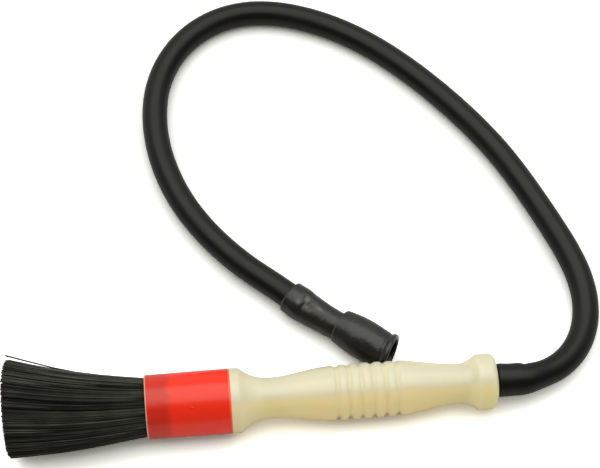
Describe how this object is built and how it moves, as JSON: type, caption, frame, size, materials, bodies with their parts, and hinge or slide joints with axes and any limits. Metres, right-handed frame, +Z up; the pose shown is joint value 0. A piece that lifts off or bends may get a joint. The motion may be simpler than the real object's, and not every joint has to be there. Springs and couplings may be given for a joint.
{
  "type": "parts washer brush",
  "caption": "Flow-through parts washer brush: flared black tuft in a red ferrule, grooved hollow cream handle, and a black rubber feed hose ending in a stepped push-on tap cuff.",
  "frame": {"origin": "bottom centre of the box round the brush itself, leaving out the hose and its adaptor", "axes": "+X along the brush from the bristles to the hose end, +Z up from the floor that it lies on, +Y across the brush towards the hose's loop"},
  "size_m": [0.3013, 0.2656, 0.0491],
  "materials": {
    "handle": "natural cream plastic, waxy satin",
    "ferrule": "slightly see-through red plastic, smooth",
    "flow_tube": "natural plastic tube",
    "hose_barb": "natural plastic moulding",
    "bristles": "black plastic filament, satin",
    "hose": "smooth black rubber, satin",
    "adaptor": "soft black rubber, matte"
  },
  "bodies": {
    "root": {"handle": "handle", "ferrule": "ferrule", "flow_tube": "flow_tube", "hose_barb": "hose_barb", "bristles_inner": "bristles", "bristles_middle": "bristles", "bristles_outer": "bristles", "hose": "hose", "reducer_sleeve": "adaptor", "tap_cuff": "adaptor"}
  },
  "joints": []
}
